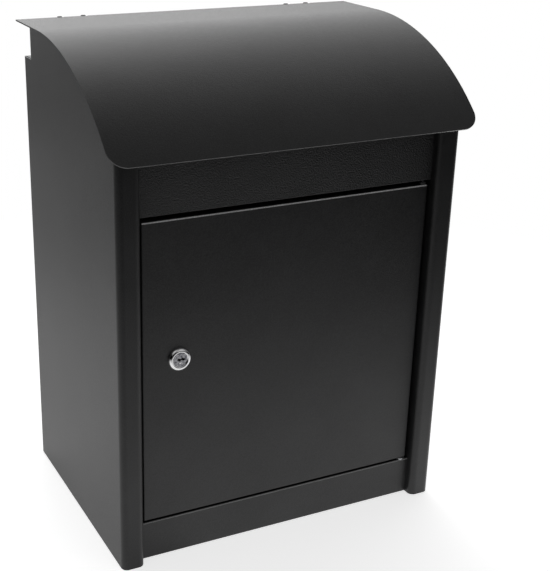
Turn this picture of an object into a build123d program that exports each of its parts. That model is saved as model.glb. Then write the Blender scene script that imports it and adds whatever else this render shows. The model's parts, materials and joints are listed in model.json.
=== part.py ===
from build123d import *
import math
import os

# Parcel drop box of bent sheet steel. X runs to the right seen from the front, Y to the rear, Z up.
# The origin is at floor level, under the centre of the overall box. All sizes are in millimetres.

# Cabinet
body_width = 400.0
body_depth = 288.0
sheet = 1.2
bend_radius = 2.4
front_bend_radius = 1.7
post_face = 25.7
post_bend = 7.3
side_rear_flange = 15.0
foot_flange = 14.0
front_recess = 12.3
step_depth = 26.0
step_height = 41.0
rail_flange = 20.0

# Lid
lid_top_z = 555.0
lid_sheet = 1.5
lid_side_overhang = 12.0
lid_front_overhang = 17.0
lid_rear_inset = 14.0
lid_radius = 280.0
lid_arc_run = 211.6
lid_corner = 20.0
lid_clearance = 2.0
lid_open_angle = 70.0

# Fascia, plinth and floor
fascia_height = 85.5
fascia_under_lid = 3.5
fascia_top_flange = 16.0
plinth_height = 45.5
frame_lip = 11.5
floor_z = 37.2
floor_flange = 18.0

# Door
door_gap_left = 3.8
door_gap_right = 3.3
door_gap_top = 5.2
door_gap_bottom = 2.8
door_flange = 15.0
door_pin_radius = 2.0
door_pin_head = 1.6
door_bush_wall = 1.5
door_bush_flange = 1.0
door_upper_collar = 3.4
door_bush_length = 6.0
door_bush_from_flange = 0.3
door_washer_thickness = 1.5
running_clearance = 0.06
side_play = 0.3

# Lid hinges
hinge_from_side = 54.3
hinge_axis_behind_lid = 3.5
hinge_axis_below_top = 3.4
hinge_pin_radius = 1.6
hinge_pin_head = 1.0
hinge_leaf_thickness = 1.5
hinge_leaf_length = 30.0
hinge_width = 36.0
lid_bush_wall = 2.2
lid_bush_length = 4.4
lid_bush_spacing = 28.0
fixed_bush_wall = 1.0
hinge_bracket_thickness = 1.8
hinge_bracket_height = 28.0
hinge_bracket_bend = 3.0
hinge_rivet_spacing = 20.0
hinge_rivet_from_end = 8.0
lid_notch_gap = 1.8
lid_notch_depth = 2.5
rivet_radius = 2.0
rivet_head_radius = 3.4
rivet_head_height = 1.0

# Guard tray and its linkage
tray_from_side = 38.5
tray_pivot_from_rear = 18.0
tray_pivot_below_hinge = 98.0
tray_hang_angle = 86.0
tray_front_gap = 11.8
tray_start = 10.0
tray_sheet = 1.5
tray_lip = 12.0
tray_ear_wall = 8.0
crank_length = 62.0
crank_angle = 40.0
rod_radius = 4.0
rod_overhang = 4.0
link_thickness = 3.0
link_gap = 1.5
link_pin_radius = 2.5
link_pin_head = 1.4
link_ear_wall = 6.5
tray_bracket_from_tray = 12.5
tray_bracket_sheet = 2.0
tray_bracket_foot = 13.0
tray_bracket_half_height = 20.0
tray_rivet_from_middle = 13.0
spacer_wall = 2.0
clip_wall = 2.5
clip_thickness = 1.2
lid_bracket_length = 40.0
lid_bracket_foot = 18.0

# Lock
lock_from_door_left = 41.6
lock_above_door_middle = 17.1
bezel_rim = 3.5
bezel_height = 4.2
barrel_radius = 9.5
barrel_wall = 1.5
plug_recess = 1.2
plug_recess_rim = 0.8
keyway_width = 1.4
keyway_length = 9.0
keyway_depth = 7.0
cam_past_post = 6.7
cam_half_width = 7.0
cam_thickness = 2.5
cam_behind_flange = 1.0
cam_behind_post = 1.3
cam_square = 7.0
nut_rim = 2.5
nut_thickness = 4.0
cam_screw_head_radius = 4.5
cam_screw_head = 2.5
cam_screw_radius = 2.0
cam_screw_depth = 8.0
cam_screw_slot = 1.2

# Rubber
bumper_radius = 5.0
bumper_from_side = 80.0
buffer_radius = 5.0
buffer_thickness = 3.1
buffer_gap = 0.7
buffer_from_left = 24.0

# Fixing holes
fixing_hole_radius = 4.5
wall_hole_from_side = 80.0
wall_hole_low_z = 100.0
wall_hole_below_step = 22.5
floor_hole_from_side = 60.0
floor_hole_from_edge = 48.8

# Places and fits worked out from the sizes above
half_width = body_width / 2
overall_depth = body_depth + lid_front_overhang
rear_y = overall_depth / 2
front_y = rear_y - body_depth
face_y = front_y + front_recess
inner_x = half_width - post_face
back_y = rear_y - sheet
step_y = rear_y - step_depth
post_return = front_recess + door_flange + cam_behind_flange - cam_behind_post
frame_flange = door_flange + buffer_gap + buffer_thickness + sheet

lid_rear_y = rear_y - lid_rear_inset
lid_front_y = front_y - lid_front_overhang
lid_arc_y = lid_front_y + lid_arc_run
lid_arc_z = lid_top_z - lid_radius
lid_half_width = half_width + lid_side_overhang
lid_under_z = lid_top_z - lid_sheet
lid_arc_angle = math.degrees(math.asin(lid_arc_run / lid_radius))
rim_z = lid_under_z - lid_clearance
step_z = rim_z - step_height
rail_top_z = rim_z - lid_clearance

lid_under_face_z = lid_arc_z + math.sqrt((lid_radius - lid_sheet) ** 2 - (lid_arc_y - face_y) ** 2)
fascia_top_z = lid_under_face_z - fascia_under_lid
fascia_bottom_z = fascia_top_z - fascia_height

door_left = -inner_x + door_gap_left
door_right = inner_x - door_gap_right
door_bottom = plinth_height + door_gap_bottom
door_top = fascia_bottom_z - door_gap_top
door_pin_head_radius = door_pin_radius + 1.0
door_bush_radius = door_pin_radius + door_bush_wall
door_pin_x = door_right - sheet - door_bush_radius - door_bush_from_flange
door_pin_y = face_y + sheet + door_bush_radius + door_bush_from_flange

hinge_centre_x = half_width - hinge_from_side
hinge_y = lid_rear_y + hinge_axis_behind_lid
hinge_z = lid_top_z - hinge_axis_below_top
fixed_bush_radius = hinge_pin_radius + fixed_bush_wall
lid_bush_radius = hinge_pin_radius + lid_bush_wall
hinge_finger_y = lid_rear_y - 3 * lid_notch_depth

tray_half_width = half_width - tray_from_side
tray_y = rear_y - tray_pivot_from_rear
tray_pivot_z = hinge_z - tray_pivot_below_hinge
tray_slope = math.radians(tray_hang_angle - lid_open_angle)
tray_length = (tray_y - face_y - frame_flange - tray_front_gap) / math.cos(tray_slope)
tray_ear_radius = rod_radius + tray_ear_wall
tray_bracket_x = tray_half_width + tray_bracket_from_tray
spacer_radius = rod_radius + spacer_wall
clip_radius = rod_radius + clip_wall
crank_y = -crank_length * math.cos(math.radians(crank_angle))
crank_z = -crank_length * math.sin(math.radians(crank_angle))
crank_ear_radius = link_pin_radius + link_ear_wall + 1.0
link_half_width = link_pin_radius + link_ear_wall
link_pin_head_radius = link_pin_radius + 2.0
link_x = tray_half_width + link_gap

lock_x = door_left + lock_from_door_left
lock_z = (door_bottom + door_top) / 2 + lock_above_door_middle
bezel_radius = barrel_radius + bezel_rim
plug_radius = barrel_radius - barrel_wall
cam_y = face_y + door_flange + cam_behind_flange
cam_length = lock_x + inner_x + cam_past_post
nut_across = 2 * (barrel_radius + nut_rim)


def span(x0, x1, y0, y1, z0, z1):
    """A block between two opposite corners."""
    middle = Pos((x0 + x1) / 2, (y0 + y1) / 2, (z0 + z1) / 2)
    return middle * Box(abs(x1 - x0), abs(y1 - y0), abs(z1 - z0))


def rod(start, direction, radius, length):
    """A round bar from a point along a direction."""
    return Plane(origin=start, z_dir=direction) * Cylinder(
        radius, length, align=(Align.CENTER, Align.CENTER, Align.MIN)
    )


def bent_strip(points, radius, thickness):
    """The section of a folded sheet, from the middle line of its thickness."""
    return trace(FilletPolyline(*points, radius=radius), line_width=thickness)


def across(section, x0, x1):
    """A section drawn as (Y, Z), run along X from x0 to x1."""
    return extrude(Plane(origin=(x0, 0, 0), x_dir=(0, 1, 0), z_dir=(1, 0, 0)) * section, amount=x1 - x0)


def upright(section, z0, z1):
    """A section drawn as (X, Y), run up from z0 to z1."""
    return Pos(0, 0, z0) * extrude(section, amount=z1 - z0)


def pan(x0, x1, y0, y1, height, radius):
    """A shallow open tray, its floor at z = 0 to the sheet's thickness, folded up on all four edges."""
    outer = span(x0, x1, y0, y1, 0, height)
    outer = fillet(outer.edges().filter_by(Axis.Z) + outer.faces().sort_by(Axis.Z)[0].edges(), radius)
    inner = span(x0 + sheet, x1 - sheet, y0 + sheet, y1 - sheet, sheet, height + 1)
    inner_edges = inner.edges().filter_by(Axis.Z) + inner.faces().sort_by(Axis.Z)[0].edges()
    return outer - fillet(inner_edges, radius - sheet)


def under_lid(offset, y0, y1, z0):
    """The region below the lid's curve, drawn as (Y, Z), a given distance in from its outer face."""
    radius = lid_radius - offset
    top = lid_arc_z + radius
    front_z = lid_arc_z + math.sqrt(radius**2 - (lid_arc_y - y0) ** 2)
    edge = Line((y1, z0), (y1, top))
    edge += Line((y1, top), (lid_arc_y, top))
    middle = math.radians(90 + math.degrees(math.asin((lid_arc_y - y0) / radius)) / 2)
    middle_point = (lid_arc_y + radius * math.cos(middle), lid_arc_z + radius * math.sin(middle))
    edge += ThreePointArc((lid_arc_y, top), middle_point, (y0, front_z))
    edge += Polyline((y0, front_z), (y0, z0), (y1, z0))
    return make_face(edge)


def hull_of_discs(discs, root=None):
    """A flat plate outline round a set of discs and a straight root edge, drawn as (Y, Z).

    Each disc is (y, z, radius); the root is its two end points.
    """
    edges = [Pos(y, z) * Edge.make_circle(r) for y, z, r in discs]
    if root:
        edges.append(Edge.make_line(*root))
    return make_hull(edges)


def side_panel(side):
    """Side wall with its front edge rolled into a post, a rear flange and a foot flange."""
    half = sheet / 2
    outer = half_width - half
    section = bent_strip(
        [
            (outer - side_rear_flange, rear_y - half),
            (outer, rear_y - half),
            (outer, front_y + half),
            (inner_x + half, front_y + half),
            (inner_x + half, front_y + post_return),
        ],
        [bend_radius - half, post_bend - half, post_bend - half],
        sheet,
    )
    wall = upright(section, 0, rim_z)
    below_rim = under_lid(lid_sheet + lid_clearance, front_y - 1, step_y, -1)
    below_step = span(0, half_width + 1, step_y - 1, rear_y + 1, -1, step_z + sheet)
    wall = wall & (across(below_rim, 0, half_width + 1) + below_step)
    foot_x = half_width - sheet
    panel = wall + span(foot_x - foot_flange, foot_x, face_y + sheet, back_y - sheet, 0, sheet)
    return panel if side > 0 else mirror(panel, about=Plane.YZ)


def back_panel():
    """Flat back between the side panels, with a foot flange and four wall-fixing holes."""
    reach = half_width - bend_radius
    panel = span(-reach, reach, back_y - sheet, back_y, 0, step_z)
    foot_reach = half_width - sheet - foot_flange
    panel += span(-foot_reach, foot_reach, back_y - sheet - foot_flange, back_y - sheet, 0, sheet)
    x = half_width - wall_hole_from_side
    for place in ((-x, wall_hole_low_z), (x, wall_hole_low_z), (-x, step_z - wall_hole_below_step),
                  (x, step_z - wall_hole_below_step)):
        panel -= rod((place[0], back_y - 2 * sheet, place[1]), (0, 1, 0), fixing_hole_radius, 3 * sheet)
    for x, z in tray_bracket_rivet_places():
        panel -= rod((x, back_y - 2 * sheet, z), (0, 1, 0), rivet_radius, 3 * sheet)
    return panel


def hinge_rail():
    """Folded rail across the top of the back: a shelf over the step, an upright face and a top flange."""
    half = sheet / 2
    section = bent_strip(
        [
            (back_y, step_z + half),
            (step_y - half, step_z + half),
            (step_y - half, rail_top_z - half),
            (step_y - rail_flange, rail_top_z - half),
        ],
        [bend_radius - half, bend_radius - half],
        sheet,
    )
    reach = half_width - bend_radius
    rail = across(section, -reach, reach)
    for x, z in hinge_rivet_places():
        rail -= rod((x, step_y - 2 * sheet, z), (0, 1, 0), rivet_radius, 3 * sheet)
    return rail


def door_pin_hole(z):
    """Cutter for a door pin's hole in the frame flange whose lower face is at z."""
    return rod((door_pin_x, door_pin_y, z - 1), (0, 0, 1), door_pin_radius, sheet + 2)


def fascia_panel():
    """Fixed front panel under the lid; its lower flange holds the upper door pin and stops the door."""
    half = sheet / 2
    section = bent_strip(
        [
            (face_y + fascia_top_flange, fascia_top_z - half),
            (face_y + half, fascia_top_z - half),
            (face_y + half, fascia_bottom_z + half),
            (face_y + frame_flange - half, fascia_bottom_z + half),
            (face_y + frame_flange - half, fascia_bottom_z - frame_lip),
        ],
        front_bend_radius - half,
        sheet,
    )
    panel = across(section, -inner_x, inner_x)
    return panel - door_pin_hole(fascia_bottom_z)


def plinth_panel():
    """Fixed panel below the door; its upper flange holds the lower door pin and stops the door."""
    half = sheet / 2
    section = bent_strip(
        [
            (face_y + post_return - front_recess, half),
            (face_y + half, half),
            (face_y + half, plinth_height - half),
            (face_y + frame_flange - half, plinth_height - half),
            (face_y + frame_flange - half, plinth_height + frame_lip),
        ],
        front_bend_radius - half,
        sheet,
    )
    panel = across(section, -inner_x, inner_x)
    return panel - door_pin_hole(plinth_height - sheet)


def floor_panel():
    """Floor of the parcel space, folded down on four sides, with four ground-fixing holes."""
    reach = half_width - sheet
    y0 = front_y + post_return + 1
    y1 = back_y - sheet
    panel = Pos(0, 0, floor_z) * mirror(pan(-reach, reach, y0, y1, floor_flange, bend_radius), about=Plane.XY)
    x = half_width - floor_hole_from_side
    for side in (-1, 1):
        for y in (y0 + floor_hole_from_edge, y1 - floor_hole_from_edge):
            panel -= rod((side * x, y, floor_z - 2 * sheet), (0, 0, 1), fixing_hole_radius, 3 * sheet)
    return panel


def lid_panel():
    """Curved sheet lid: a flat strip at the rear, then one long arc down to the front edge."""
    middle_radius = lid_radius - lid_sheet / 2
    middle_line = Line((lid_rear_y, lid_arc_z + middle_radius), (lid_arc_y, lid_arc_z + middle_radius))
    middle_line += CenterArc((lid_arc_y, lid_arc_z), middle_radius, 90, lid_arc_angle)
    lid = across(trace(middle_line, line_width=lid_sheet), -lid_half_width, lid_half_width)
    front_edge = Plane(
        origin=(0, lid_front_y, lid_arc_z + lid_radius * math.cos(math.radians(lid_arc_angle))),
        x_dir=(1, 0, 0),
        z_dir=(0, -math.sin(math.radians(lid_arc_angle)), math.cos(math.radians(lid_arc_angle))),
    )
    for side in (-1, 1):
        square = Pos(side * lid_half_width, 0) * Rectangle(2 * lid_corner, 2 * lid_corner)
        disc = Pos(side * (lid_half_width - lid_corner), lid_corner) * Circle(lid_corner)
        keep = Pos(side * (lid_half_width - lid_corner), 0) * Rectangle(
            2 * lid_corner, 4 * lid_corner, align=(Align.MAX if side > 0 else Align.MIN, Align.CENTER))
        corner = square - disc - keep
        lid -= extrude(front_edge * corner, amount=6 * lid_sheet, both=True)
    for hinge_x in (-hinge_centre_x, hinge_centre_x):
        for x in bush_centres(hinge_x):
            reach = lid_bush_length / 2 + lid_notch_gap
            lid -= span(x - reach, x + reach, lid_rear_y - lid_notch_depth, lid_rear_y + 1,
                        lid_under_z - 1, lid_top_z + 1)
    return lid


def bush_centres(hinge_x):
    """The two lid bushes of one hinge."""
    return (hinge_x - lid_bush_spacing / 2, hinge_x + lid_bush_spacing / 2)


def lid_hinge_leaf(hinge_x):
    """Leaf welded under the lid, with two fingers that end in bushes round the pin."""
    z0 = lid_under_z - hinge_leaf_thickness
    leaf = span(hinge_x - hinge_width / 2, hinge_x + hinge_width / 2,
                hinge_finger_y - hinge_leaf_length, hinge_finger_y, z0, lid_under_z)
    for x in bush_centres(hinge_x):
        x0 = x - lid_bush_length / 2
        leaf += span(x0, x0 + lid_bush_length, hinge_finger_y, hinge_y, z0, lid_under_z)
        leaf += rod((x0, hinge_y, hinge_z), (1, 0, 0), lid_bush_radius, lid_bush_length)
    return leaf - rod((hinge_x - hinge_width, hinge_y, hinge_z), (1, 0, 0), hinge_pin_radius, 2 * hinge_width)


def hinge_rivet_places():
    """Rivets that hold the hinge brackets to the rail."""
    z = rail_top_z - hinge_bracket_height + hinge_rivet_from_end
    offsets = (-hinge_rivet_spacing / 2, hinge_rivet_spacing / 2)
    return [(hinge_x + dx, z) for hinge_x in (-hinge_centre_x, hinge_centre_x) for dx in offsets]


def hinge_bracket(hinge_x):
    """Bracket on the rail's rear face, with an arm up to the fixed bush between the lid's two."""
    half = hinge_bracket_thickness / 2
    low_z = rail_top_z - hinge_bracket_height
    knee_z = rail_top_z - hinge_bracket_thickness
    fixed_length = lid_bush_spacing - lid_bush_length - 2 * side_play
    arm = bent_strip(
        [(step_y + half, low_z), (step_y + half, knee_z), (hinge_y, hinge_z - 0.75 * fixed_bush_radius)],
        hinge_bracket_bend,
        hinge_bracket_thickness,
    )
    bracket = across(arm, hinge_x - fixed_length / 2, hinge_x + fixed_length / 2)
    bracket += span(hinge_x - hinge_width / 2, hinge_x + hinge_width / 2,
                    step_y, step_y + hinge_bracket_thickness, low_z, knee_z - hinge_bracket_bend)
    bracket += rod((hinge_x - fixed_length / 2, hinge_y, hinge_z), (1, 0, 0), fixed_bush_radius, fixed_length)
    bracket -= rod((hinge_x - hinge_width, hinge_y, hinge_z), (1, 0, 0),
                   hinge_pin_radius + running_clearance, 2 * hinge_width)
    for x, z in hinge_rivet_places():
        bracket -= rod((x, step_y - 1, z), (0, 1, 0), rivet_radius, hinge_bracket_thickness + 2)
    return bracket


def lid_hinge_pin(hinge_x):
    """Pin pressed into the lid's bushes, with a staked head at each end."""
    reach = (lid_bush_spacing + lid_bush_length) / 2
    pin = rod((hinge_x - reach, hinge_y, hinge_z), (1, 0, 0), hinge_pin_radius, 2 * reach)
    for x in (hinge_x - reach - hinge_pin_head, hinge_x + reach):
        pin += rod((x, hinge_y, hinge_z), (1, 0, 0), hinge_pin_radius + lid_bush_wall / 2, hinge_pin_head)
    return pin


def rivet(x, inner_y, outer_y, z):
    """A low-headed rivet along Y through a stack of sheets."""
    body = rod((x, inner_y, z), (0, 1, 0), rivet_radius, outer_y - inner_y)
    body += rod((x, outer_y, z), (0, 1, 0), rivet_head_radius, rivet_head_height)
    body += rod((x, inner_y - rivet_head_height, z), (0, 1, 0), rivet_head_radius * 0.85, rivet_head_height)
    return body


def hinge_rivets():
    """Four rivets through the hinge brackets and the rail."""
    return [rivet(x, step_y - sheet, step_y + hinge_bracket_thickness, z) for x, z in hinge_rivet_places()]


def tray_pivot_plate(side):
    """Bracket on the back panel that holds one end of the tray's rod."""
    inner_y = back_y - sheet
    low_z = tray_pivot_z - tray_bracket_half_height
    high_z = tray_pivot_z + tray_bracket_half_height
    foot_y = inner_y - tray_bracket_sheet
    far_x = tray_bracket_x + tray_bracket_sheet
    web = hull_of_discs([(tray_y, tray_pivot_z, tray_ear_radius)], [(inner_y, low_z), (inner_y, high_z)])
    bracket = across(web, tray_bracket_x, far_x)
    bracket += span(far_x - tray_bracket_foot, far_x, foot_y, inner_y, low_z, high_z)
    bracket -= rod((tray_bracket_x - 1, tray_y, tray_pivot_z), (1, 0, 0), rod_radius, tray_bracket_sheet + 2)
    for x, z in tray_bracket_rivet_places():
        if x > 0:
            bracket -= rod((x, foot_y - 1, z), (0, 1, 0), rivet_radius, tray_bracket_sheet + 2)
    return bracket if side > 0 else mirror(bracket, about=Plane.YZ)


def tray_bracket_rivet_places():
    """Rivets that hold the rod brackets to the back panel."""
    x = tray_bracket_x - (tray_bracket_foot - tray_bracket_sheet) / 2
    offsets = (-tray_rivet_from_middle, tray_rivet_from_middle)
    return [(side * x, tray_pivot_z + dz) for side in (-1, 1) for dz in offsets]


def tray_bracket_rivets():
    """Four rivets through the rod brackets and the back panel."""
    inner_y = back_y - sheet - tray_bracket_sheet
    return [rivet(x, inner_y, back_y, z) for x, z in tray_bracket_rivet_places()]


def tray_rod():
    """Rod that the guard tray swings on."""
    reach = tray_bracket_x + tray_bracket_sheet + clip_thickness + rod_overhang
    return rod((-reach, tray_y, tray_pivot_z), (1, 0, 0), rod_radius, 2 * reach)


def tray_spacers():
    """Tubes on the rod that keep the tray in the middle."""
    spacers = []
    for side in (-1, 1):
        x0 = side * (tray_half_width + side_play)
        tube = rod((x0, tray_y, tray_pivot_z), (side, 0, 0), spacer_radius, tray_bracket_x - abs(x0))
        spacers.append(tube - tray_rod())
    return spacers


def rod_clips():
    """Retaining rings at the rod's two ends."""
    clips = []
    for side in (-1, 1):
        x0 = side * (tray_bracket_x + tray_bracket_sheet)
        ring = rod((x0, tray_y, tray_pivot_z), (side, 0, 0), clip_radius, clip_thickness)
        clips.append(ring - tray_rod())
    return clips


def guard_tray():
    """Plate with two cheeks, hanging from the rod; the cheeks carry the link pins."""
    angle = math.radians(tray_hang_angle)
    along = (-math.cos(angle), -math.sin(angle))
    out = (-math.sin(angle), math.cos(angle))

    def place(s, n):
        """A point s along the plate from the rod and n off its carrying face."""
        return (tray_y + along[0] * s + out[0] * n, tray_pivot_z + along[1] * s + out[1] * n)

    half = tray_sheet / 2
    plate = across(
        bent_strip([place(tray_start, 0), place(tray_length - half, 0), place(tray_length - half, tray_lip)],
                   bend_radius, tray_sheet),
        -tray_half_width, tray_half_width)
    crank_disc = (tray_y + crank_y, tray_pivot_z + crank_z, crank_ear_radius)
    rod_disc = (tray_y, tray_pivot_z, tray_ear_radius)
    low_disc = (*place(tray_length - 12, 5), 5)
    cheek = hull_of_discs([rod_disc, crank_disc, (*place(tray_length * 0.55, 8), 8)])
    cheek += hull_of_discs([(*place(tray_length * 0.5, 5), 5), low_disc])
    tray = plate + across(cheek, -tray_half_width, tray_sheet - tray_half_width)
    tray += across(cheek, tray_half_width - tray_sheet, tray_half_width)
    tray -= rod((-half_width, tray_y, tray_pivot_z), (1, 0, 0), rod_radius + running_clearance, body_width)
    crank_start = (-half_width, tray_y + crank_y, tray_pivot_z + crank_z)
    return tray - rod(crank_start, (1, 0, 0), link_pin_radius, body_width)


def lid_bracket(side):
    """Cheek welded under the lid that carries the upper link pin."""
    pin_y = hinge_y + crank_y
    pin_z = hinge_z + crank_z
    rear = hinge_finger_y - hinge_leaf_length - 1
    front = rear - lid_bracket_length
    web = hull_of_discs([(pin_y, pin_z, crank_ear_radius)], [(front, lid_under_z), (rear, lid_under_z)])
    x0 = tray_half_width - tray_sheet
    bracket = across(web, x0, tray_half_width)
    foot_x = x0 - lid_bracket_foot
    bracket += span(foot_x, tray_half_width, front, rear, lid_under_z - tray_sheet, lid_under_z)
    bracket -= rod((x0 - 1, pin_y, pin_z), (1, 0, 0), link_pin_radius, tray_sheet + 2)
    return bracket if side > 0 else mirror(bracket, about=Plane.YZ)


def link_arm(side):
    """Flat bar between a lid bracket and a tray cheek; it is as long as the two pivots are apart."""
    lower = (tray_y + crank_y, tray_pivot_z + crank_z)
    upper = (hinge_y + crank_y, hinge_z + crank_z)
    outline = hull_of_discs([(*lower, link_half_width), (*upper, link_half_width)])
    bar = across(outline, link_x, link_x + link_thickness)
    for y, z in (lower, upper):
        bar -= rod((link_x - 1, y, z), (1, 0, 0), link_pin_radius + running_clearance, link_thickness + 2)
    return bar if side > 0 else mirror(bar, about=Plane.YZ)


def link_pin(side, y, z):
    """Shouldered pin fixed in a cheek; the link turns on its outer end."""
    cheek_in = tray_half_width - tray_sheet
    outer_x = link_x + link_thickness + side_play
    pin = rod((cheek_in, y, z), (1, 0, 0), link_pin_radius, outer_x - cheek_in)
    pin += rod((cheek_in - link_pin_head, y, z), (1, 0, 0), link_pin_head_radius, link_pin_head)
    pin += rod((tray_half_width, y, z), (1, 0, 0), link_pin_head_radius, link_gap - side_play)
    pin += rod((outer_x, y, z), (1, 0, 0), link_pin_head_radius, link_pin_head)
    return pin if side > 0 else mirror(pin, about=Plane.YZ)


def link_pins(pivot_y, pivot_z):
    """The left and right pins of one pivot line."""
    return [link_pin(side, pivot_y + crank_y, pivot_z + crank_z) for side in (-1, 1)]


def door_panel():
    """Door pressed as a pan, folded back on four sides, with holes for the lock and the bushes."""
    door = pan(door_left, door_right, door_bottom, door_top, door_flange, front_bend_radius)
    door = Plane(origin=(0, face_y, 0), x_dir=(1, 0, 0), z_dir=(0, 1, 0)) * mirror(door, about=Plane.XZ)
    door -= rod((lock_x, face_y - 1, lock_z), (0, 1, 0), barrel_radius, sheet + 2)
    for z in (door_bottom - 1, door_top - sheet - 1):
        door -= rod((door_pin_x, door_pin_y, z), (0, 0, 1), door_bush_radius, sheet + 2)
    return door


def door_pin(base_z, up):
    """Headed pin pressed into a frame flange, reaching through the door's bush."""
    gap = door_gap_bottom if up > 0 else door_gap_top
    length = sheet + gap + door_bush_length
    pin = rod((door_pin_x, door_pin_y, base_z - up * sheet), (0, 0, up), door_pin_radius, length)
    head_start = (door_pin_x, door_pin_y, base_z - up * sheet)
    return pin + rod(head_start, (0, 0, -up), door_pin_head_radius, door_pin_head)


def door_bush(edge_z, up, flange):
    """Flanged bush in the door's folded edge."""
    tube = rod((door_pin_x, door_pin_y, edge_z), (0, 0, up), door_bush_radius, door_bush_length)
    tube += rod((door_pin_x, door_pin_y, edge_z), (0, 0, -up), door_bush_radius + 1, flange)
    hole = door_pin_radius + running_clearance
    start = (door_pin_x, door_pin_y, edge_z - up * (flange + 1))
    return tube - rod(start, (0, 0, up), hole, door_bush_length + flange + 2)


def door_washer():
    """Steel washer round the lower pin, on the plinth."""
    place = (door_pin_x, door_pin_y, plinth_height)
    washer = rod(place, (0, 0, 1), door_bush_radius + door_bush_wall, door_washer_thickness)
    return washer - rod(place, (0, 0, 1), door_pin_radius, door_washer_thickness)


def lock_housing():
    """Bezel in front of the door and the barrel through it."""
    bezel = rod((lock_x, face_y, lock_z), (0, -1, 0), bezel_radius, bezel_height)
    bezel = fillet(bezel.edges().sort_by(Axis.Y)[0], bezel_height * 0.8)
    back = cam_y - side_play
    housing = bezel + rod((lock_x, face_y, lock_z), (0, 1, 0), barrel_radius, back - face_y)
    recess_y = face_y - bezel_height - 1
    housing -= rod((lock_x, recess_y, lock_z), (0, 1, 0), plug_radius + plug_recess_rim, plug_recess + 1)
    return housing - rod((lock_x, recess_y, lock_z), (0, 1, 0), plug_radius, back - recess_y + 1)


def lock_plug():
    """Plug that turns in the housing, with a keyway in front and a square end behind."""
    front = face_y - bezel_height + plug_recess
    radius = plug_radius - running_clearance
    plug = rod((lock_x, front, lock_z), (0, 1, 0), radius, cam_y - front)
    plug -= span(lock_x - keyway_length / 2, lock_x + keyway_length / 2, front - 1, front + keyway_depth,
                 lock_z - keyway_width / 2, lock_z + keyway_width / 2)
    half = cam_square / 2
    plug += span(lock_x - half, lock_x + half, cam_y, cam_y + cam_thickness, lock_z - half, lock_z + half)
    hole_start = (lock_x, cam_y - cam_screw_depth, lock_z)
    return plug - rod(hole_start, (0, 1, 0), cam_screw_radius, cam_screw_depth + cam_thickness + 1)


def lock_cam():
    """Flat latch arm on the plug's square end, pointing down while unlocked."""
    arm = hull_of_discs([(0, 0, cam_half_width + 2), (0, cam_half_width - cam_length, cam_half_width)])
    front = Plane(origin=(lock_x, cam_y, lock_z), x_dir=(-1, 0, 0), z_dir=(0, 1, 0))
    cam = front * extrude(arm, cam_thickness)
    half = cam_square / 2
    square = span(lock_x - half, lock_x + half, cam_y - 1, cam_y + cam_thickness + 1,
                  lock_z - half, lock_z + half)
    return cam - square


def cam_screw():
    """Screw that holds the cam on the plug."""
    head_y = cam_y + cam_thickness
    screw_start = (lock_x, cam_y - cam_screw_depth, lock_z)
    screw = rod(screw_start, (0, 1, 0), cam_screw_radius, cam_screw_depth + cam_thickness)
    head = rod((lock_x, head_y, lock_z), (0, 1, 0), cam_screw_head_radius, cam_screw_head)
    head = fillet(head.edges().sort_by(Axis.Y)[-1], cam_screw_head * 0.5)
    reach = cam_screw_head_radius + 1
    half = cam_screw_slot / 2
    slot = span(lock_x - reach, lock_x + reach, head_y + cam_screw_head * 0.6, head_y + cam_screw_head + 1,
                lock_z - half, lock_z + half)
    return screw + head - slot


def lock_nut():
    """Hexagon nut that clamps the housing to the door."""
    plane = Plane(origin=(lock_x, face_y + sheet, lock_z), x_dir=(1, 0, 0), z_dir=(0, 1, 0))
    nut = plane * extrude(RegularPolygon(nut_across / 2, 6, major_radius=False), nut_thickness)
    return nut - rod((lock_x, face_y, lock_z), (0, 1, 0), barrel_radius, 20)


def lid_bumpers():
    """Rubber studs on the fascia's top flange, cut to the lid's slope."""
    region = across(under_lid(lid_sheet + side_play, front_y, lid_rear_y, 0), -half_width, half_width)
    y = face_y + fascia_top_flange / 2
    x = half_width - bumper_from_side
    column = [rod((side * x, y, fascia_top_z), (0, 0, 1), bumper_radius, lid_radius) for side in (-1, 1)]
    return [stud & region for stud in column]


def door_buffers():
    """Rubber pads on the lips behind the door's free edge, in the middle of each lip's flat part."""
    lip_y = face_y + frame_flange - sheet
    lip_middle = (frame_lip + front_bend_radius - sheet) / 2
    x = door_left + buffer_from_left
    places = (fascia_bottom_z - lip_middle, plinth_height + lip_middle)
    return [rod((x, lip_y - buffer_thickness, z), (0, 1, 0), buffer_radius, buffer_thickness) for z in places]


def write(name, shape):
    """Export one sub-part; a list becomes a group of separate solids."""
    if isinstance(shape, list):
        shape = Compound(children=[item.solid() for item in shape])
    export_step(shape, f"parts/{name}.step")


os.makedirs("parts", exist_ok=True)
for name, side in (("left", -1), ("right", 1)):
    write(f"side_panel_{name}", side_panel(side))
    write(f"lid_hinge_leaf_{name}", lid_hinge_leaf(side * hinge_centre_x))
    write(f"hinge_bracket_{name}", hinge_bracket(side * hinge_centre_x))
    write(f"lid_hinge_pin_{name}", lid_hinge_pin(side * hinge_centre_x))
    write(f"tray_rod_bracket_{name}", tray_pivot_plate(side))
    write(f"lid_link_bracket_{name}", lid_bracket(side))
    write(f"link_arm_{name}", link_arm(side))
write("back_panel", back_panel())
write("hinge_rail", hinge_rail())
write("fascia_panel", fascia_panel())
write("plinth_panel", plinth_panel())
write("floor_panel", floor_panel())
write("lid_panel", lid_panel())
write("hinge_rivets", hinge_rivets())
write("tray_bracket_rivets", tray_bracket_rivets())
write("tray_rod", tray_rod())
write("tray_rod_spacers", tray_spacers())
write("tray_rod_clips", rod_clips())
write("guard_tray", guard_tray())
write("lid_link_pins", link_pins(hinge_y, hinge_z))
write("tray_link_pins", link_pins(tray_y, tray_pivot_z))
write("door_panel", door_panel())
write("door_pin_upper", door_pin(fascia_bottom_z, -1))
write("door_pin_lower", door_pin(plinth_height, 1))
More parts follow.
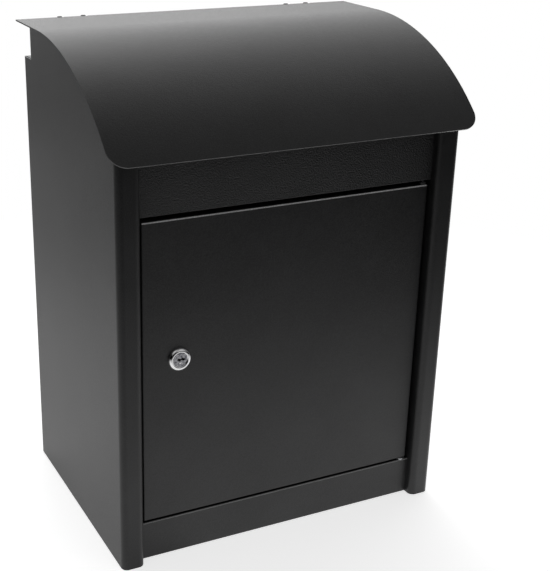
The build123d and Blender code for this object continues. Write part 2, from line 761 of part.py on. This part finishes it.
write("door_bush_upper", door_bush(door_top, -1, door_upper_collar))
write("door_bush_lower", door_bush(door_bottom, 1, door_bush_flange))
write("door_washer", door_washer())
write("lock_housing", lock_housing())
write("lock_nut", lock_nut())
write("lock_plug", lock_plug())
write("lock_cam", lock_cam())
write("lock_cam_screw", cam_screw())
write("lid_bumpers", lid_bumpers())
write("door_buffers", door_buffers())
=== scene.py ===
import json
import math

import bmesh
import bpy
from mathutils import Euler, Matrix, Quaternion, Vector


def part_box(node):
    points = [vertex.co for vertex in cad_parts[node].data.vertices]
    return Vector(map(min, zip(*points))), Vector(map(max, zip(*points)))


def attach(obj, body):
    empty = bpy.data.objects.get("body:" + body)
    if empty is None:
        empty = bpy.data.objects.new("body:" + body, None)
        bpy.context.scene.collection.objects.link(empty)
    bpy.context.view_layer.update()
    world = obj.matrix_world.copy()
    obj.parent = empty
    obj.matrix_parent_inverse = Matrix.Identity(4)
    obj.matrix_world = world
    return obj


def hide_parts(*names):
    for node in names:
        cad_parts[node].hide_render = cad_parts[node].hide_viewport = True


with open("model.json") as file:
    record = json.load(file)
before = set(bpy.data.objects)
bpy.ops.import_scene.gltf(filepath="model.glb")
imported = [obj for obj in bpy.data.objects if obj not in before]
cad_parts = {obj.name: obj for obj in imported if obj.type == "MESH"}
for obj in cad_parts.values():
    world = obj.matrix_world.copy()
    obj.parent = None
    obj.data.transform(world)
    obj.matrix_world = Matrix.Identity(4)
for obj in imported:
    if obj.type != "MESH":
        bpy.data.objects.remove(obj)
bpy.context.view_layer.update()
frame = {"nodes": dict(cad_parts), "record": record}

# Parcel drop box: the bent steel body, its lid, guard tray, door and cam lock, finished and lit.
nodes = frame["nodes"]


# small helpers that build material nodes
def startMaterial(name):
    material = bpy.data.materials.new(name)
    material.use_nodes = True
    return material, material.node_tree, material.node_tree.nodes["Principled BSDF"]


def addNode(tree, kind, inputs=None, **settings):
    node = tree.nodes.new(kind)
    for key, value in settings.items():
        setattr(node, key, value)
    for key, value in (inputs or {}).items():
        if isinstance(value, bpy.types.NodeSocket):
            tree.links.new(value, node.inputs[key])
        else:
            node.inputs[key].default_value = value
    return node


def objectPlace(tree):
    return addNode(tree, "ShaderNodeTexCoord").outputs["Object"]


def noise(tree, place, scale, detail=2.0, roughness=0.5, stretch=None):
    if stretch:
        place = addNode(tree, "ShaderNodeMapping", {"Vector": place, "Scale": stretch}).outputs["Vector"]
    inputs = {"Vector": place, "Scale": scale, "Detail": detail, "Roughness": roughness}
    return addNode(tree, "ShaderNodeTexNoise", inputs).outputs["Fac"]


def bands(tree, value, stops):
    ramp = addNode(tree, "ShaderNodeValToRGB", {"Fac": value})
    elements = ramp.color_ramp.elements
    while len(elements) < len(stops):
        elements.new(0.5)
    for element, (position, colour) in zip(elements, stops):
        element.position = position
        element.color = (*colour, 1) if isinstance(colour, tuple) else (colour, colour, colour, 1)
    return ramp.outputs["Color"]


def rescale(tree, value, low, high, newLow, newHigh):
    inputs = {"Value": value, "From Min": low, "From Max": high, "To Min": newLow, "To Max": newHigh}
    return addNode(tree, "ShaderNodeMapRange", inputs).outputs["Result"]


noiseSpan = (0.3, 0.7)         # most of a noise pattern lies between these


def patchy(tree, cloud, dulling, colour):
    dull = tuple(c * dulling for c in colour)
    return bands(tree, cloud, [(noiseSpan[0], dull), (noiseSpan[1], colour)])


def unevenGloss(tree, shader, pattern, roughness):
    tree.links.new(rescale(tree, pattern, *noiseSpan, *roughness), shader.inputs["Roughness"])


def sums(tree, kind, first, second):
    return addNode(tree, "ShaderNodeMath", {0: first, 1: second}, operation=kind).outputs["Value"]


def addRelief(tree, shader, height, distance, strength=1.0, under=None):
    inputs = {"Height": height, "Distance": distance, "Strength": strength}
    if under:
        inputs["Normal"] = under
    bump = addNode(tree, "ShaderNodeBump", inputs)
    tree.links.new(bump.outputs["Normal"], shader.inputs["Normal"])
    return bump.outputs["Normal"]


def towards(turn, tilt=0):
    turn, tilt = math.radians(turn), math.radians(tilt)
    return Vector((math.sin(turn) * math.cos(tilt), math.cos(turn) * math.cos(tilt), math.sin(tilt)))


def facing(tree, direction, axis, fromCosine, toCosine=1.0):
    aim = addNode(tree, "ShaderNodeVectorMath", {0: direction, 1: axis}, operation="DOT_PRODUCT")
    inputs = {"Value": aim.outputs["Value"], "From Min": fromCosine, "From Max": toCosine}
    return addNode(tree, "ShaderNodeMapRange", inputs, interpolation_type="SMOOTHSTEP").outputs["Result"]


def blendShades(tree, share, first, grey):
    node = addNode(tree, "ShaderNodeMix", {0: share, 6: first}, data_type="RGBA")
    node.inputs[7].default_value = (grey, grey, grey, 1)
    return node.outputs[2]


def blendValues(tree, share, first, second):
    return addNode(tree, "ShaderNodeMix", {0: share, 2: first, 3: second}).outputs[0]


finePowder = {
    "dark": (0.0050, 0.0050, 0.0053),
    "light": (0.0200, 0.0200, 0.0207),
    "mottle": 14.0,            # cloudiness of the coat, per metre
    "grainShare": 2.0,         # how much more the fine grain colours the coat than its cloudiness does
    "shadeSpan": (1.15, 1.85), # where their sum turns from dark to light
    "grain": 760.0,            # fine texture of the coat, per metre
    "grainHeight": 0.00022,
    "ripple": 230.0,           # slight orange peel
    "rippleHeight": 0.00008,
    "roughness": (0.31, 0.47),
}
sandPowder = dict(finePowder, grain=560.0, grainHeight=0.0018, ripple=210.0, rippleHeight=0.0002,
                  roughness=(0.34, 0.52))


# painted highlight: a bright line painted along a fold or a sheet's edge where it faces a light, per piece:
# the way the surface faces there, the least cosine to that way, and the line's shade
paintedEdgeHighlights = {
    "door_panel": ((0.0, -0.70, 0.71), 0.78, 1.0),
    "plinth_panel": ((0.0, -0.70, 0.71), 0.78, 0.30),
    "lid_panel": ((0.0, -0.66, -0.75), 0.80, 0.22),
}
highlightGrainBreak = (0.3, 0.6, 0.6)   # grain values between which the painted highlight breaks up, and its weakest share


def powderCoat(name, look, edgeHighlight=None):
    material, tree, shader = startMaterial(name)
    place = objectPlace(tree)
    mottle = noise(tree, place, look["mottle"], 4.0, 0.6)
    grain = noise(tree, place, look["grain"], 3.0, 0.6)
    ripple = noise(tree, place, look["ripple"], 2.0, 0.5)
    speckle = sums(tree, "MULTIPLY", grain, look["grainShare"])
    shade = rescale(tree, sums(tree, "ADD", mottle, speckle), *look["shadeSpan"], 0.0, 1.0)
    colour = bands(tree, shade, [(0.0, look["dark"]), (1.0, look["light"])])
    # painted highlight: a lighter shade is mixed into the coat where the surface faces the given way, broken
    # up by the grain
    if edgeHighlight:
        facingWay = addNode(tree, "ShaderNodeTexCoord").outputs["Normal"]
        line = facing(tree, facingWay, edgeHighlight[0], edgeHighlight[1])
        paintedHighlight = sums(tree, "MULTIPLY", line, rescale(tree, grain, *highlightGrainBreak, 1.0))
        colour = blendShades(tree, paintedHighlight, colour, edgeHighlight[2])
    tree.links.new(colour, shader.inputs["Base Color"])
    unevenGloss(tree, shader, grain, look["roughness"])
    low = addRelief(tree, shader, ripple, look["rippleHeight"])
    addRelief(tree, shader, grain, look["grainHeight"], under=low)
    return material


platedMetal = {
    "cloud": 160.0,            # patches in the plating, per metre
    "cloudShade": 0.82,
    "scratch": 900.0,
    "scratchStretch": (1.0, 1.0, 0.15),
    "scratchHeight": 0.00001,
}


def plainMetal(name, colour, roughness):
    material, tree, shader = startMaterial(name)
    place = objectPlace(tree)
    cloud = noise(tree, place, platedMetal["cloud"], 4.0, 0.6)
    tree.links.new(patchy(tree, cloud, platedMetal["cloudShade"], colour), shader.inputs["Base Color"])
    shader.inputs["Metallic"].default_value = 1.0
    scratches = noise(tree, place, platedMetal["scratch"], 2.0, 0.6, platedMetal["scratchStretch"])
    unevenGloss(tree, shader, scratches, roughness)
    addRelief(tree, shader, scratches, platedMetal["scratchHeight"])
    return material


moulding = {
    "cloud": 220.0,            # unevenness of the moulded surface, per metre
    "cloudShade": 0.85,
    "skin": 1400.0,
    "skinHeight": 0.00002,
}


def mouldedSoft(name, colour, roughness):
    material, tree, shader = startMaterial(name)
    place = objectPlace(tree)
    cloud = noise(tree, place, moulding["cloud"], 3.0, 0.6)
    tree.links.new(patchy(tree, cloud, moulding["cloudShade"], colour), shader.inputs["Base Color"])
    unevenGloss(tree, shader, cloud, roughness)
    addRelief(tree, shader, noise(tree, place, moulding["skin"], 3.0), moulding["skinHeight"])
    return material


lockPlug = {
    "facets": 72,
    "markFacets": 20,
    "plateDepth": 0.007,       # how deep the keyway runs
    "rim": 0.00022,            # broken edge round the face and the keyway
    "shaftGap": 0.00002,       # the shaft is this much smaller than the face
    "shaftEdge": 0.0003,
    "screwHole": 0.002,
    "squareHalf": 0.0035,
    "squareRound": 0.0004,
    "keyway": ((-3.2, -0.5), (-2.1, -0.5), (-1.5, -1.5), (0.1, -1.5), (0.6, -0.4), (2.2, -0.4),
               (2.8, -1.4), (4.6, -1.4), (5.4, -0.4), (5.4, 0.9), (4.2, 0.9), (3.6, 1.9), (2.0, 1.9),
               (1.4, 0.8), (0.0, 0.8), (-0.6, 1.6), (-2.2, 1.6), (-3.2, 0.7)),   # millimetres
    "mark": (0.0, -0.0036, 0.0009, 0.0005),   # small stud on the face: across, up, radius, height
    "markShape": ((1.0, -0.2), (0.9, 0.5), (0.55, 0.9), (0.05, 1.0)),   # shares of its radius and height
}

plugFinish = {
    "dark": (0.10, 0.10, 0.12),
    "light": (0.46, 0.46, 0.48),
    "cloud": 420.0,            # patchy wear of the plating, per metre
    "roughness": (0.12, 0.34),
    "skin": 1800.0,
    "skinHeight": 0.00002,
    "paintedStudGlint": 0.0011,       # painted glint: the raised stud and the face right round it are painted almost white out to this radius
    "studGlintShade": 0.98,
}


def plugFace(name):
    material, tree, shader = startMaterial(name)
    place = objectPlace(tree)
    cloud = noise(tree, place, plugFinish["cloud"], 3.0, 0.6)
    face = bands(tree, cloud, [(0.38, plugFinish["dark"]), (0.6, plugFinish["light"])])
    low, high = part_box("lock_plug")
    across, up = lockPlug["mark"][:2]
    stud = ((low.x + high.x) / 2 + across, low.y, (low.z + high.z) / 2 + up)
    # painted glint: the colour round the raised stud is painted almost white so the stud shows as a bright
    # dot
    away = addNode(tree, "ShaderNodeVectorMath", {0: place, 1: stud}, operation="DISTANCE").outputs["Value"]
    glint = rescale(tree, away, plugFinish["paintedStudGlint"], plugFinish["paintedStudGlint"] * 0.9, 0.0, 1.0)
    tree.links.new(blendShades(tree, glint, face, plugFinish["studGlintShade"]), shader.inputs["Base Color"])
    shader.inputs["Metallic"].default_value = 1.0
    unevenGloss(tree, shader, cloud, plugFinish["roughness"])
    addRelief(tree, shader, noise(tree, place, plugFinish["skin"], 3.0), plugFinish["skinHeight"])
    return material


finishes = {
    "black_powder_coat": powderCoat("finePowderCoat", finePowder),
    "sand_powder_coat": powderCoat("sandPowderCoat", sandPowder),
    "zinc_steel": plainMetal("zincPlate", (0.62, 0.63, 0.65), (0.28, 0.42)),
    "lock_chrome": plainMetal("polishedChrome", (0.95, 0.95, 0.96), (0.04, 0.10)),
    "lock_steel": plugFace("satinNickel"),
    "nylon": mouldedSoft("blackNylon", (0.022, 0.022, 0.023), (0.38, 0.5)),
    "black_rubber": mouldedSoft("blackRubber", (0.018, 0.018, 0.019), (0.6, 0.8)),
}
print("finishes:", len(finishes))


# how far the small fittings' sharp edges are rounded off; the big sheets keep their folded edges
edgeBreak = {
    "width": 0.00025,
    "seam": 0.000005,          # corners closer than this are joined first
    "angle": 38,
    "sheets": ("lid_panel", "side_panel_left", "side_panel_right", "back_panel", "hinge_rail",
               "fascia_panel", "plinth_panel", "floor_panel", "door_panel", "guard_tray"),
}


def breakEdges(piece):
    weld = piece.modifiers.new("joinSeams", "WELD")
    weld.merge_threshold = edgeBreak["seam"]
    bevel = piece.modifiers.new("brokenEdges", "BEVEL")
    bevel.width = edgeBreak["width"]
    bevel.segments = 2
    bevel.limit_method = "ANGLE"
    bevel.angle_limit = math.radians(edgeBreak["angle"])
    bevel.harden_normals = True


for part in frame["record"]["subparts"]:
    node = nodes[part["node"]]
    node.data.materials.clear()
    # pieces with a painted edge highlight get a coat of their own carrying that painted highlight
    edgeHighlight = paintedEdgeHighlights.get(part["node"])
    coat = powderCoat("finePowderCoat." + part["node"], finePowder, edgeHighlight) if edgeHighlight else None
    node.data.materials.append(coat or finishes[part["material_slot"]])
    if part["node"] not in edgeBreak["sheets"]:
        breakEdges(node)
print("carried-over pieces finished")


# mesh helpers: a profile turned round the Y axis, and finishing a mesh into a piece
def turned(mesh, centre, profile, facets, closed=True, startTurn=0.0):
    rings = []
    for radius, depth in profile:
        ring = []
        for step in range(facets):
            turn = startTurn + 2 * math.pi * step / facets
            spot = (centre[0] + radius * math.cos(turn), depth, centre[1] + radius * math.sin(turn))
            ring.append(mesh.verts.new(spot))
        rings.append(ring)
    following = rings[1:] + rings[:1] if closed else rings[1:]
    for ring, nextRing in zip(rings, following):
        for step in range(facets):
            beside = (step + 1) % facets
            mesh.faces.new((ring[step], ring[beside], nextRing[beside], nextRing[step]))
    return rings


smoothAngle = 30               # turned faces that meet at less than this many degrees look round


def makePiece(name, mesh, body, slot, stands):
    bmesh.ops.recalc_face_normals(mesh, faces=mesh.faces)
    data = bpy.data.meshes.new(name)
    mesh.to_mesh(data)
    mesh.free()
    data.shade_smooth()
    data.set_sharp_from_angle(angle=math.radians(smoothAngle))
    piece = bpy.data.objects.new(name, data)
    bpy.context.scene.collection.objects.link(piece)
    data.materials.append(finishes[slot])
    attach(piece, body)
    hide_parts(stands)
    return piece


housingLow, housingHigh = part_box("lock_housing")
plugLow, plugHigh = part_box("lock_plug")
doorLow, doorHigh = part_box("door_panel")
camLow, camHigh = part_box("lock_cam")
lockCentre = ((housingLow.x + housingHigh.x) / 2, (housingLow.z + housingHigh.z) / 2)
plugRadius = (plugHigh.x - plugLow.x) / 2

lockCase = {
    "facets": 96,
    "barrelRadius": 0.0095,
    "boreGap": 0.00006,        # play round the plug
    "boreMouth": 0.0002,       # the bore widens at its mouth
    "edge": 0.0003,            # broken edges of bore and barrel
    "recessRim": 0.0008,       # step round the plug's face
    "lipRound": 0.00035,
    "lipCurl": 0.3,            # how far the lip's middle stands from its corner
    "domeSteps": 14,
    "foot": 0.0004,            # straight foot of the dome against the door
    "threadPitch": 0.00125,
    "threadDepth": 0.00045,
}


def makeLockHousing():
    rim = (housingHigh.x - housingLow.x) / 2
    front, back = housingLow.y, housingHigh.y
    bore = plugRadius + lockCase["boreGap"]
    recess = plugRadius + lockCase["recessRim"]
    lip = lockCase["lipRound"]
    curl = lip * lockCase["lipCurl"]
    edge = lockCase["edge"]
    profile = [(bore, back), (bore, plugLow.y + edge), (bore + lockCase["boreMouth"], plugLow.y)]
    profile.append((recess, plugLow.y))
    profile += [(recess, front + lip), (recess + curl, front + curl), (recess + lip, front)]
    inner = recess + 2 * lip
    drop = doorLow.y - lockCase["foot"] - front
    for step in range(lockCase["domeSteps"] + 1):
        turn = math.pi / 2 * step / lockCase["domeSteps"]
        profile.append((inner + (rim - inner) * math.sin(turn), front + drop * (1 - math.cos(turn))))
    barrel = lockCase["barrelRadius"]
    profile += [(rim, doorLow.y), (barrel, doorLow.y)]
    depth = doorLow.y + lockCase["threadPitch"]
    while depth < back - lockCase["threadPitch"]:
        profile += [(barrel, depth), (barrel - lockCase["threadDepth"], depth + lockCase["threadPitch"] / 2)]
        depth += lockCase["threadPitch"]
    profile += [(barrel, depth), (barrel, back - edge), (barrel - edge, back)]
    shape = bmesh.new()
    turned(shape, lockCentre, profile, lockCase["facets"])
    return makePiece("lockHousing", shape, "door", "lock_chrome", "lock_housing")


def facePlate():
    curve = bpy.data.curves.new("plugFace", "CURVE")
    curve.dimensions = "2D"
    curve.fill_mode = "BOTH"
    rim = lockPlug["rim"]
    curve.extrude = lockPlug["plateDepth"] / 2 - rim
    curve.bevel_depth = rim
    curve.bevel_resolution = 1
    curve.offset = -rim
    facets = lockPlug["facets"]
    edge = []
    for step in range(facets):
        turn = 2 * math.pi * step / facets
        edge.append((plugRadius * math.cos(turn), plugRadius * math.sin(turn)))
    slot = [(across / 1000, up / 1000) for across, up in lockPlug["keyway"]]
    for outline in (edge, slot):
        line = curve.splines.new("POLY")
        line.points.add(len(outline) - 1)
        for point, (across, up) in zip(line.points, outline):
            point.co = (across, up, 0, 1)
        line.use_cyclic_u = True
    holder = bpy.data.objects.new("plugFace", curve)
    bpy.context.scene.collection.objects.link(holder)
    bpy.context.view_layer.update()
    flat = bpy.data.meshes.new_from_object(holder.evaluated_get(bpy.context.evaluated_depsgraph_get()))
    bpy.data.objects.remove(holder)
    return flat


def makeLockPlug():
    shape = bmesh.new()
    flat = facePlate()
    shape.from_mesh(flat)
    bpy.data.meshes.remove(flat)
    middle = plugLow.y + lockPlug["plateDepth"] / 2
    for spot in shape.verts:
        spot.co = Vector((lockCentre[0] + spot.co.x, middle - spot.co.z, lockCentre[1] + spot.co.y))
    start = plugLow.y + lockPlug["plateDepth"]
    hole = lockPlug["screwHole"]
    radius = plugRadius - lockPlug["shaftGap"]
    edge = lockPlug["shaftEdge"]
    shaft = [(hole, start), (radius, start), (radius, camLow.y - edge), (radius - edge, camLow.y),
             (hole, camLow.y)]
    turned(shape, lockCentre, shaft, lockPlug["facets"])
    corner = lockPlug["squareHalf"] * math.sqrt(2)
    trim = lockPlug["squareRound"]
    square = [(hole * math.sqrt(2), camLow.y), (corner, camLow.y), (corner, plugHigh.y - trim),
              (corner - trim, plugHigh.y), (hole * math.sqrt(2), plugHigh.y)]
    turned(shape, lockCentre, square, 4, startTurn=math.pi / 4)
    across, up, size, height = lockPlug["mark"]
    place = (lockCentre[0] + across, lockCentre[1] + up)
    stud = [(size * wide, plugLow.y - height * tall) for wide, tall in lockPlug["markShape"]]
    turned(shape, place, stud, lockPlug["markFacets"])
    return makePiece("lockPlug", shape, "lock", "lock_steel", "lock_plug")


makeLockHousing()
makeLockPlug()
print("lock pieces made")


# the paper is white to the eye; what the coat mirrors fades with distance
paperFloor = {
    "radius": 1.8,
    "colour": (0.86, 0.86, 0.86),
    "fibre": 60.0,             # cloudiness of the paper, per metre
    "fibreShade": 0.99,
    "roughness": 0.9,
    "litTo": (0.6, 1.1),       # the painted lit patch round the box: the paper's colour fades to black between these distances
    "whiteness": (0.67, 1.0),  # what the eye sees on top of the light that falls there: lit patch, beyond it
    "frontGlow": ((0.0, 0.74), (0.2, 0.60), (0.27, 0.42), (0.35, 0.17), (0.5, 0.04), (1.0, 0.03)),
    "leftGlow": ((0.0, 0.46), (0.3, 0.37), (0.45, 0.30), (1.0, 0.20)),
    "rearGlow": 1.0,
    "leftTurn": 282,
    "leftBlend": (0.4, 0.65),  # cosines between which the left side's glow takes over
    "rearTurn": 40,
    "rearBlend": (0.35, 0.6),
}


def makeFloor():
    mesh = bpy.data.meshes.new("paperFloor")
    shape = bmesh.new()
    bmesh.ops.create_circle(shape, cap_ends=True, radius=paperFloor["radius"], segments=96)
    shape.to_mesh(mesh)
    shape.free()
    floor = bpy.data.objects.new("paperFloor", mesh)
    bpy.context.scene.collection.objects.link(floor)
    material, tree, shader = startMaterial("palePaper")
    place = objectPlace(tree)
    fibre = noise(tree, place, paperFloor["fibre"], 4.0)
    paper = patchy(tree, fibre, paperFloor["fibreShade"], paperFloor["colour"])
    shader.inputs["Roughness"].default_value = paperFloor["roughness"]
    shader.inputs["Specular IOR Level"].default_value = 0.0
    shader.inputs["Emission Color"].default_value = (1, 1, 1, 1)
    reach = addNode(tree, "ShaderNodeVectorMath", {0: place}, operation="LENGTH").outputs["Value"]
    # painted pool of light: the paper's colour is scaled from full to black between the litTo distances
    lit = rescale(tree, reach, *paperFloor["litTo"], 1.0, 0.0)
    patch = addNode(tree, "ShaderNodeVectorMath", {0: paper, "Scale": lit}, operation="SCALE")
    tree.links.new(patch.outputs["Vector"], shader.inputs["Base Color"])
    share = rescale(tree, reach, 0.0, paperFloor["radius"], 0.0, 1.0)
    direction = addNode(tree, "ShaderNodeVectorMath", {0: place}, operation="NORMALIZE").outputs["Vector"]
    front = bands(tree, share, paperFloor["frontGlow"])
    left = bands(tree, share, paperFloor["leftGlow"])
    leftShare = facing(tree, direction, towards(paperFloor["leftTurn"]), *paperFloor["leftBlend"])
    rearShare = facing(tree, direction, towards(paperFloor["rearTurn"]), *paperFloor["rearBlend"])
    glow = blendValues(tree, leftShare, front, left)
    glow = blendValues(tree, rearShare, glow, paperFloor["rearGlow"])
    seen = addNode(tree, "ShaderNodeLightPath").outputs["Is Camera Ray"]
    white = rescale(tree, reach, *paperFloor["litTo"], *paperFloor["whiteness"])
    tree.links.new(blendValues(tree, seen, glow, white), shader.inputs["Emission Strength"])
    mesh.materials.append(material)


# the room's soft glows, by height angle: each one's turn clockwise from straight behind, and its strength
softGlows = {
    4: ((10, 1.1), (40, 0.75)),
    15: ((285, 0.15),),
    22: ((-15, 1.9), (20, 0.25), (60, 0.35), (100, 0.15), (150, 0.35)),
    42: ((0, 1.2), (40, 0.5), (150, 0.2), (210, 0.3)),
    64: ((40, 0.35), (110, 0.2), (250, 0.4)),
}
glowSpread = 34                # degrees from the middle of a glow to its edge


def lightStudio():
    world = bpy.data.worlds.new("softStudio")
    bpy.context.scene.world = world
    world.use_nodes = True
    tree = world.node_tree
    backdrop = tree.nodes["Background"]
    direction = addNode(tree, "ShaderNodeTexCoord").outputs["Generated"]
    room = 0.0
    edge = math.cos(math.radians(glowSpread))
    for tilt, glows in softGlows.items():
        for turn, strength in glows:
            glow = facing(tree, direction, towards(turn, tilt), edge)
            room = sums(tree, "ADD", sums(tree, "MULTIPLY", glow, strength), room)
    seen = addNode(tree, "ShaderNodeLightPath").outputs["Is Camera Ray"]
    tree.links.new(blendValues(tree, seen, room, 1.0), backdrop.inputs["Strength"])
    backdrop.inputs["Color"].default_value = (1, 1, 1, 1)


viewpoint = {
    "stand": (-0.5706, -1.1171, 0.7523),
    "turn": 25.42,
    "dip": 21.287,
    "lean": 0.655,             # slight roll of the hand-held camera
    "lens": 72.24,
    "shift": (0.12, -0.0142),
}


def placeCamera():
    camera = bpy.data.objects.new("studioCamera", bpy.data.cameras.new("studioCamera"))
    bpy.context.scene.collection.objects.link(camera)
    camera.location = viewpoint["stand"]
    dip, turn, lean = (math.radians(viewpoint[name]) for name in ("dip", "turn", "lean"))
    aim = Euler((math.pi / 2 - dip, 0, -turn)).to_quaternion() @ Quaternion((0, 0, 1), lean)
    camera.rotation_euler = aim.to_euler()
    camera.data.lens = viewpoint["lens"]
    camera.data.shift_x, camera.data.shift_y = viewpoint["shift"]
    bpy.context.scene.camera = camera


makeFloor()
lightStudio()
placeCamera()
bpy.context.scene.view_settings.view_transform = "Standard"
print("stage, light and camera placed")
